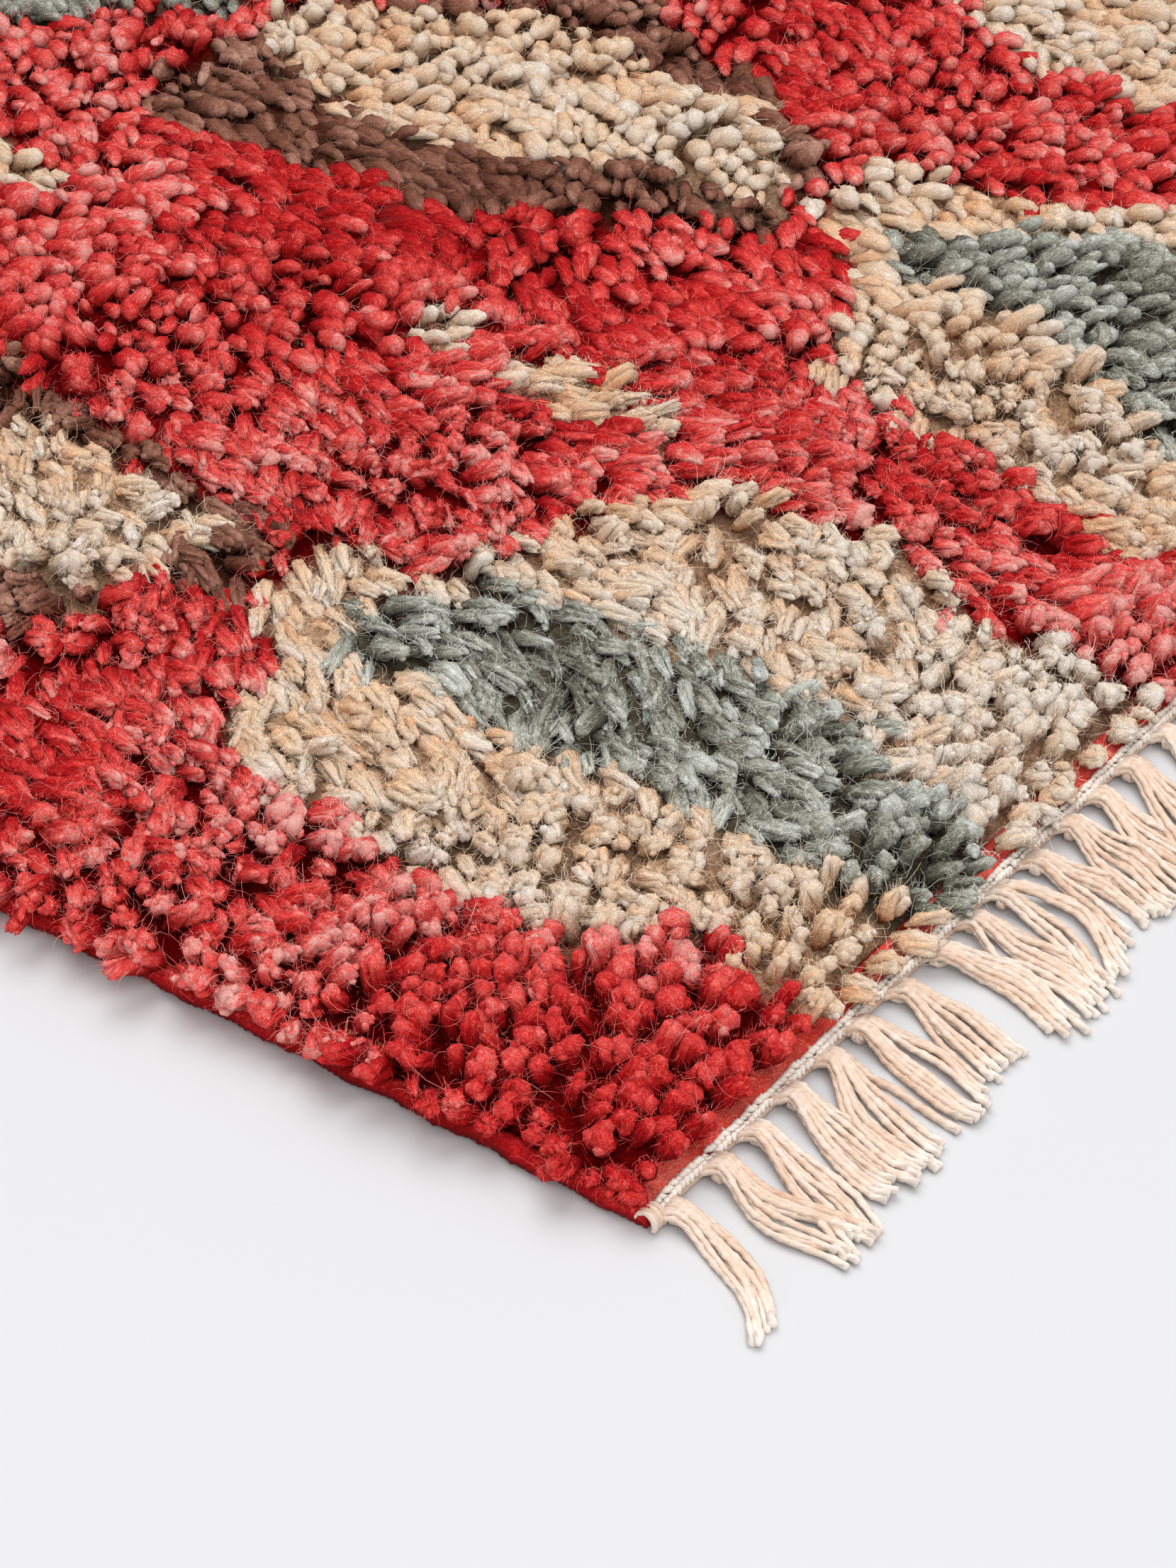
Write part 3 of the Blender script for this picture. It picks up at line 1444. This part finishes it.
@dataclass
class UnderWool(Craft):
    """The lumpy matted wool low down between the tufts, which hides the weave under them."""

    pitch: float = 13.5 * MM
    level: float = 10.5 * MM
    uneven: float = 3.5 * MM
    inset: float = 2 * MM
    shoulder: float = 4 * MM

    def build(self) -> Piece:
        """Make it: a lumpy grid with its rim drawn down to the weave and closed below.

        Returns:
            The piece.
        """
        outline, end = self.outline, self.outline.pile_end
        columns, rows = (round(2 * half / self.pitch) for half in (outline.half_width, end))
        bm = bmesh.new()
        bmesh.ops.create_grid(bm, x_segments=columns, y_segments=rows, size=1.0)
        for vertex in bm.verts:
            rim = max(abs(vertex.co.x), abs(vertex.co.y)) > 0.999
            y = vertex.co.y * end
            left, right = outline.sides(y, self.inset)
            x = left + (right - left) * (vertex.co.x + 1) / 2
            lump = self.uneven * float(drift(x, y, 0.016, 33))
            vertex.co = (x, y, self.level + lump + 0.6 * float(relief(x, y)) - self.shoulder * rim)
        for vertex in points_in(bmesh.ops.extrude_edge_only(bm, edges=open_edges(bm))["geom"]):
            vertex.co.z = outline.ground_top + outline.gap
        bmesh.ops.holes_fill(bm, edges=open_edges(bm))
        bmesh.ops.recalc_face_normals(bm, faces=bm.faces)
        mesh = mesh_of("under_wool", bm)
        places = np.array([vertex.co for vertex in mesh.vertices])
        dyes = dyes_at(outline.across(places[:, 0]), outline.up(places[:, 1]))
        layer = mesh.attributes.new("dye", "FLOAT_COLOR", "POINT")
        colours = np.array([(*SWATCHES[dye].matted, 1.0) for dye in dyes], dtype=np.float32)
        layer.data.foreach_set("color", colours.ravel())
        mesh.shade_smooth()
        return self.shop.enter(mesh, "pile_wool", MattedFinish("matted_wool"))


@dataclass
class Binding(Craft):
    """Red wool wound round the outer warps of one side, with a softly scalloped edge.

    Attributes:
        sign: -1 for the left side, 1 for the right.
    """

    sign: int
    thick: float = 9 * MM
    wrap_pitch: float = 3.2 * MM
    wrap_depth: float = 0.55 * MM
    lump_depth: float = 0.7 * MM
    past_ground: float = 3.5 * MM
    sides: int = 12
    fine_share: float = 0.24

    def build(self) -> Piece:
        """Make the binding as one tube whose rings swell at each wrap.

        Returns:
            The binding.
        """
        outline, sign = self.outline, self.sign
        end = outline.ground_end + self.past_ground
        length = 2 * end
        close = length * self.fine_share if sign < 0 else 0.0
        places = np.concatenate(
            (np.arange(0, close, self.wrap_pitch / 4), np.arange(close, length, self.wrap_pitch * 1.5))
        )
        shape = Prototype.even_yarn(self.sides, places[1:-1] / length)
        y = -end + shape.along * length
        wave = 0.5 - 0.5 * np.cos(TURN * y / outline.scallop_pitch + sign)
        scallop = outline.scallop_depth * wave * (0.7 + 0.3 * drift(y, y * 0, 0.12, 40 + sign))
        wide = (outline.binding_width + scallop) / 2
        wrap = self.wrap_depth * np.abs(np.sin(math.pi * (y / self.wrap_pitch + shape.angle / 12)))
        lump = self.lump_depth * drift(y, shape.angle * 0.01, 0.005, 50 + sign)
        swell = wrap + lump - self.wrap_depth
        middle = outline.side(y, sign) + sign * (outline.gap + wide)
        x = middle + np.cos(shape.angle) * shape.radius * (wide + swell)
        z = self.thick / 2 + np.sin(shape.angle) * shape.radius * (self.thick / 2 + swell)
        attributes = {
            "fibre": joined(y * 0.35 / MM, shape.angle * 4.0, (2 * y + x) / MM),
            "tip": 0.30 + 0.30 * np.clip(np.sin(shape.angle), 0, 1),
            "tone": 0.32 + 0.25 * drift(y, x * 0, 0.02, 60),
        }
        name = "side_binding_left" if sign < 0 else "side_binding_right"
        mesh = self.shop.copies(name, shape, 1, joined(x, y, np.maximum(z, 0.0)), attributes)
        return self.shop.enter(mesh, "binding_wool", WoolFinish.of(Dye.RED))


@dataclass
class Fringe(Craft):
    """The braid and the knotted tassels of one end.

    Attributes:
        end: -1 for the front end, 1 for the back.
    """

    end: int
    tassels: int = 40
    yarns: int = 11
    yarn_radius: float = 1.5 * MM
    yarn_points: int = 34
    lay_pitch: float = 14 * MM
    knot_out: float = 4.6 * MM
    inside: float = 2 * MM
    length: float = 62 * MM
    lean: float = math.radians(17)
    fan: float = 6.5 * MM
    waist: float = 3.9 * MM
    bundle: float = 9.4 * MM
    stitch_pitch: float = 2.7 * MM
    core_radius: float = 2.0 * MM
    core_points: int = 160
    knot_points: int = 26
    knot_turns: float = 2.3

    def __post_init__(self) -> None:
        """Start the source of the unevenness."""
        self.chance = self.fresh(61)

    def fresh(self, seed: int) -> Chance:
        """A source of unevenness that says the same each time at this end."""
        return np.random.default_rng(seed + self.end)

    def middles(self) -> Array:
        """Find where the tassels leave the braid.

        Returns:
            Each tassel's place across the rug.
        """
        pitch = 2 * self.outline.half_width / self.tassels
        wander = self.fresh(77).normal(0, 1.5 * MM, self.tassels)
        return -self.outline.half_width + pitch * (np.arange(self.tassels) + 0.5) + wander

    def beyond(self, x: Array, out: Array, z: Array | float) -> Array:
        """Points from their distances out past the braid's edge."""
        return joined(x, self.end * (self.outline.half_length + out), z)

    def recede(self, x: Array) -> Array:
        """How far the braid's edge draws back between the tassels that pull on it."""
        nearest = np.abs(np.asarray(x)[..., None] - self.middles()).min(-1)
        return 0.9 * MM * smooth_step(2 * MM, 12 * MM, nearest)

    def yarns_of(self, rows: Array) -> Strands:
        """Run each tassel's yarns from the braid through the knot and out over the floor.

        Args:
            rows: The tassels.

        Returns:
            The yarns.
        """
        tassels, each, chance = len(rows), self.yarns, self.chance
        count = tassels * each

        def shared(values: Array) -> Array:
            """Spread a value for each tassel over its yarns, as a column."""
            return np.repeat(values, each)[:, None]

        number = np.tile(np.arange(each), tassels)[:, None]
        order = (np.tile(np.linspace(-1, 1, each), tassels) + chance.normal(0, 0.07, count))[:, None]
        cuts = np.sort(chance.uniform(0.5, each - 0.5, (tassels, 2)), axis=1)
        group = sum((number >= shared(cut)).astype(int) for cut in cuts.T)
        way = chance.normal(0, 1, (tassels, 3)) * (3.2, 2.4, 3.2) * MM + np.array((-1.4, 0.0, 1.4)) * MM
        apart = np.take_along_axis(np.repeat(way, each, axis=0), group, axis=1)
        rejoin = shared(chance.uniform(0.0, 1.0, tassels))
        reach = shared((self.length - self.knot_out) * chance.normal(1, 0.06, tassels))
        reach = reach * chance.normal(1, 0.05, (count, 1))
        lean = shared(np.tan(self.end * (self.lean + chance.normal(0, math.radians(8), tassels))))
        full = shared(self.bundle * np.clip(chance.normal(1, 0.17, tassels), 0.6, 1.35))
        bend, swing = (shared(chance.normal(0, spread * MM, tassels)) for spread in (4.5, 3.0))
        loose = (chance.random(count) < 0.08)[:, None] * chance.normal(0, 8 * MM, (count, 1))

        share = np.linspace(0, 1, self.yarn_points) ** 1.35
        start = (self.knot_out + self.inside) / (self.length + self.inside)
        near = np.clip(share / start, 0, 1)[None, :]
        far = np.clip((share - start) / (1 - start), 0, 1)[None, :]
        arc = np.sin(math.pi * far)
        gather = self.waist + (self.fan - self.waist) * (1 - near) ** 1.3
        open_out = self.waist + (full - self.waist) * smooth_step(0, 0.55, far)
        wide = np.where(far > 0, open_out, gather)
        part = np.sin(math.pi * far**0.75) * rejoin + smooth_step(0, 1, far) * (1 - rejoin)
        curl = chance.normal(0, 1.1 * MM, (count, 1)) * np.sin(far * chance.uniform(3, 8, (count, 1)))
        x = shared(self.middles()[rows]) + order * wide + apart * part + lean * reach * far**1.15 + bend * arc
        x = x + loose * far**1.4 + curl + swing * far * np.sin(math.pi * far * 1.7)
        to_knot = -self.inside + (self.knot_out + self.inside) * near
        out = np.where(far > 0, self.knot_out + reach * far, to_knot)
        over = 2.0 * MM * (number % 2) + 1.2 * MM * shared(rows % 2)
        arch = 4.2 * MM * near * (1 - smooth_step(0, 0.34, far))
        z = self.yarn_radius * 1.05 + arch + over * (0.5 + 0.5 * near) * (1 - 0.5 * far)
        z = z + 1.4 * MM * (1 - near)
        z = z + 0.5 * MM * np.sin(far * 9 + shared(chance.uniform(0, 6, tassels))) * arc
        radius = self.yarn_radius * chance.normal(1, 0.07, (count, 1))
        radius = radius * (1 + 0.22 * smooth_step(0.88, 1.0, far))
        return Strands(
            self.beyond(x, out, np.maximum(z, self.yarn_radius)), radius, tones(chance, 0.55, 0.2, count),
            chance.uniform(0, 6.3, count), TURN * self.length / self.lay_pitch, 1.14,
        )

    def knots_of(self, rows: Array) -> Strands:
        """Wind a yarn round each tassel where it is tied.

        Args:
            rows: The tassels.

        Returns:
            The windings.
        """
        count, chance = len(rows), self.chance
        wound = np.linspace(0, TURN * self.knot_turns, self.knot_points)[None, :]
        angle = wound + chance.uniform(0, 6.3, (count, 1))
        advance = np.linspace(-1, 1, self.knot_points)[None, :] * self.yarn_radius
        wide = chance.normal(4.3 * MM, 0.5 * MM, (count, 1))
        tilt = chance.normal(0, 0.35, (count, 1))
        x = self.middles()[rows][:, None] + np.cos(angle) * wide
        z = np.maximum(4.2 * MM + np.sin(angle) * 2.6 * MM, self.yarn_radius)
        path = self.beyond(x, self.knot_out + advance + np.cos(angle) * wide * tilt, z)
        return Strands(path, self.yarn_radius, tones(chance, 0.55, 0.15, count), 0.0, 9.0, 1.12)

    def stitches(self, close: bool) -> Strands:
        """Lay the braid's stitches: rows that slant towards each other.

        Args:
            close: Whether to lay those that are seen close up, or the others.

        Returns:
            The stitches.
        """
        chance, share = self.fresh(71), np.linspace(-1, 1, 5)[None, :]
        reach = self.outline.half_width - 7 * MM
        places = np.arange(-reach, reach, self.stitch_pitch)
        paths = []
        for row, slant in ((0, 1), (1, -1)):
            x = places + row * self.stitch_pitch / 2 + chance.normal(0, 0.2 * MM, len(places))
            out = -4.7 * MM + row * 2.9 * MM - self.recede(x) * (0.4 + 0.3 * row)
            half = 2.1 * MM * chance.normal(1, 0.12, (len(x), 1))
            z = 4.1 * MM + 1.4 * MM * np.cos(share * 1.5) + chance.normal(0, 0.3 * MM, (len(x), 1))
            paths.append(
                self.beyond(x[:, None] + share * half * 0.78, out[:, None] + share * half * 0.62 * slant, z)
            )
        path = np.concatenate(paths)
        seen = self.view.sees(path[:, 2, 0], path[:, 2, 1], 0.03)
        path = path[seen if close else ~seen]
        radius = 1.5 * MM * chance.normal(1, 0.12, (len(path), 1))
        return Strands(path, radius, tones(chance, 0.85, 0.2, len(path)), 0.0, 1.5, 1.08, start=0.95)

    def corner_wraps(self) -> Strands:
        """Turns of cotton over the ends of the two bindings, where the braid closes.

        Returns:
            The turns.
        """
        chance, each = self.fresh(91), 4
        count = 2 * each
        turn = np.linspace(-0.6, math.pi - 0.2, 9)[None, :]
        inset = np.tile(1.3 + 2.0 * np.arange(each), 2) * MM
        x = np.repeat((-1, 1), each) * (self.outline.half_width - inset)
        x = x[:, None] + chance.normal(0, 0.25 * MM, (count, 1))
        out = -2.6 * MM + 4.0 * MM * np.cos(turn) + chance.normal(0, 0.3 * MM, (count, 1))
        path = self.beyond(x, out, np.maximum(3.6 * MM + 4.6 * MM * np.sin(turn), 1.2 * MM))
        return Strands(path, 1.2 * MM, tones(chance, 0.6, 0.15, count), 0.0, 3.0, 1.1)

    def warp_dots(self) -> Strands:
        """Small loops of warp that show between the band's last wefts and the braid.

        Returns:
            The loops.
        """
        chance, share = self.fresh(81), np.linspace(-1, 1, 3)[None, :]
        reach = self.outline.half_width - 10 * MM
        x = np.arange(-reach, reach, 3.1 * MM)
        x = (x + chance.normal(0, 0.9 * MM, len(x)))[chance.random(len(x)) < 0.62]
        out = -6.3 * MM - self.recede(x) * 0.4 + chance.normal(0, 0.5 * MM, len(x))
        aside = share * 0.5 * MM * chance.normal(0, 1, (len(x), 1))
        along = share * 0.9 * MM * chance.uniform(0.5, 1.3, (len(x), 1))
        path = self.beyond(x[:, None] + aside, out[:, None] - along, 4.0 * MM + 0.5 * MM * (1 - share**2))
        return Strands(path, 0.75 * MM, tones(chance, 0.6, 0.2, len(x)))

    def core(self) -> Strands:
        """The braid's filled middle, which the stitches cover.

        Returns:
            One strand.
        """
        x = np.linspace(-1, 1, self.core_points) * (self.outline.half_width - 8 * MM)
        path = self.beyond(x, -3.0 * MM - self.recede(x) * 0.7, self.core_radius)
        return Strands(path[None], self.core_radius, 0.0, oval=1.15)

    def build(self) -> list[Piece]:
        """Make the end's braid and tassels, finer where they are seen close up.

        Returns:
            The pieces.
        """
        label = "front" if self.end < 0 else "back"
        floor_y = np.full(self.tassels, self.end * (self.outline.half_length + 0.03))
        close = self.view.sees(self.middles(), floor_y, 0.05)
        fine = Prototype.yarn(7, ((0.0005, 0.75), *((place, 1.0) for place in np.linspace(0.03, 0.995, 17))))
        rings = (0.08, 0.16, 0.3, 0.5, 0.75, 0.99)
        plain = Prototype.yarn(4, ((0.002, 0.8), *((place, 1.0) for place in rings)))
        wound = Prototype.even_yarn(6, np.linspace(0.01, 0.99, 26))
        loose = Prototype.even_yarn(5, np.linspace(0.02, 0.98, 14))
        grain = Prototype.yarn(6, ((0.10, 0.62), (0.5, 1.0), (0.90, 0.62)))
        rough = Prototype.yarn(4, ((0.2, 0.9), (0.8, 0.9)))
        round_core = Prototype.even_yarn(8, np.linspace(0.002, 0.998, self.core_points - 2))
        lots = [(f"braid_core_{label}", round_core, self.core())]
        for reach, rows, yarn, knot in (
            ("close", np.flatnonzero(close), fine, wound), ("wide", np.flatnonzero(~close), plain, loose),
        ):
            if len(rows):
                lots.append((f"tassels_{label}_{reach}", yarn, self.yarns_of(rows)))
                lots.append((f"knots_{label}_{reach}", knot, self.knots_of(rows)))
        lots += [
            (f"braid_{label}_close", grain, self.stitches(True)),
            (f"braid_{label}_wide", rough, self.stitches(False)),
            (f"warp_dots_{label}", rough, self.warp_dots()),
            (f"corner_wraps_{label}", fine, self.corner_wraps()),
        ]
        return [piece for lot in lots for piece in self.shop.join(*lot, "fringe_cotton", COTTON)]


@dataclass(frozen=True)
class Lamp:
    """A round soft light."""

    name: str
    place: Place
    size: float
    power: float


LAMPS = (Lamp("key_light", (0.55, 0.75, 4.2), 4.6, 150.0), Lamp("side_light", (-1.9, -2.4, 2.6), 3.0, 60.0))


@dataclass
class Studio:
    """The floor, the lights and the camera, which looks down on the front left corner."""

    outline: Outline
    back: float = 0.9417
    aside: float = 0.6406
    height: float = 1.039
    pitch: float = math.radians(36.44)
    heading: float = math.radians(54.7)
    lens: float = 99.8
    sensor: float = 36.0
    frame: tuple[float, float] = (1659.0, 2212.0)
    floor_tone: Colour = (0.592, 0.592, 0.604)
    floor_half: float = 40.0
    floor_drop: float = 0.2 * MM
    room_light: float = 0.60
    lit_place: Place = (-0.3, -0.5, 0.0)

    @property
    def eye(self) -> Vector:
        """Where the camera stands."""
        left, front = -self.outline.half_width, -self.outline.half_length
        return Vector((left - self.back, front - self.aside, self.height))

    def sees(self, x: Array, y: Array, margin: float) -> Array:
        """Whether places on the floor are in the camera's picture or within a margin of it.

        Args:
            x, y: The places.
            margin: Extra room round the picture, as a share of its height.

        Returns:
            A truth value for each place.
        """
        east, north = math.sin(self.heading), math.cos(self.heading)
        dx, dy, dz = np.asarray(x) - self.eye.x, np.asarray(y) - self.eye.y, -self.eye.z
        ahead = dx * east + dy * north
        forward = ahead * math.cos(self.pitch) - dz * math.sin(self.pitch)
        upward = ahead * math.sin(self.pitch) + dz * math.cos(self.pitch)
        right = dx * north - dy * east
        scale = self.lens / self.sensor
        half_wide = 0.5 * self.frame[0] / self.frame[1] + margin
        inside = np.abs(right / forward * scale) < half_wide
        return inside & (np.abs(upward / forward * scale) < 0.5 + margin)

    def distance(self, x: Array, y: Array) -> Array:
        """How far places on the floor are from the camera."""
        return np.sqrt((np.asarray(x) - self.eye.x) ** 2 + (np.asarray(y) - self.eye.y) ** 2 + self.eye.z**2)

    def place_camera(self) -> None:
        """Set up the camera at the picture's viewing angle."""
        data = bpy.data.cameras.new("camera")
        data.lens, data.sensor_width, data.sensor_fit = self.lens, self.sensor, "AUTO"
        data.clip_start, data.clip_end = 0.05, 50.0
        camera = put("camera", data)
        camera.location = self.eye
        camera.rotation_euler = (math.pi / 2 - self.pitch, 0.0, -self.heading)
        bpy.context.scene.camera = camera

    def lay_floor(self) -> None:
        """Lay a plain pale floor just under the rug."""
        bm = bmesh.new()
        bmesh.ops.create_grid(bm, x_segments=1, y_segments=1, size=self.floor_half)
        mesh = mesh_of("floor", bm)
        paint = Graph("floor_paint")
        mesh.materials.append(
            paint.surface(Base_Color=(*self.floor_tone, 1.0), Roughness=0.7, Specular_IOR_Level=0.2)
        )
        floor = put("floor", mesh)
        floor.location.z = -self.floor_drop

    def light(self) -> None:
        """Hang the soft lights and fill the room with pale light."""
        world = bpy.data.worlds.new("room")
        world.use_nodes = True
        room = world.node_tree.nodes["Background"].inputs
        room["Color"].default_value = (1.0, 1.0, 1.0, 1.0)
        room["Strength"].default_value = self.room_light
        bpy.context.scene.world = world
        for lamp in LAMPS:
            data = bpy.data.lights.new(lamp.name, "AREA")
            data.shape, data.size, data.energy = "DISK", lamp.size, lamp.power
            light = put(lamp.name, data)
            light.location = lamp.place
            aim = Vector(self.lit_place) - Vector(lamp.place)
            light.rotation_euler = aim.to_track_quat("-Z", "Y").to_euler()
        bpy.context.scene.view_settings.view_transform = "Standard"

    def build(self) -> None:
        """Set up the camera, floor and lights."""
        self.place_camera()
        self.lay_floor()
        self.light()


def main() -> None:
    """Build the rug's pieces in order, from the studio to the fringes."""
    logging.basicConfig(level=logging.INFO, format="%(message)s")
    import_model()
    outline = Outline()
    studio = Studio(outline)
    studio.build()
    shop = Workshop()
    kit = (outline, shop, studio)
    ground = Ground(*kit).build()
    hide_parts("ground")
    shag = Shag(*kit)
    pile = [*shag.build(), UnderWool(*kit).build()]
    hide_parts("pile")
    fuzz = Fuzz(*kit, shag).build()
    for sign, node in ((-1, "binding_left"), (1, "binding_right")):
        binding = Binding(*kit, sign).build()
        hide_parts(node)
    ends = []
    for end, node in ((-1, "fringe_front"), (1, "fringe_back")):
        pieces = Fringe(*kit, end).build()
        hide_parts(node)
        ends += pieces
    LOG.info("all pieces: %d triangles", shop.triangles)


if __name__ == "__main__":
    main()
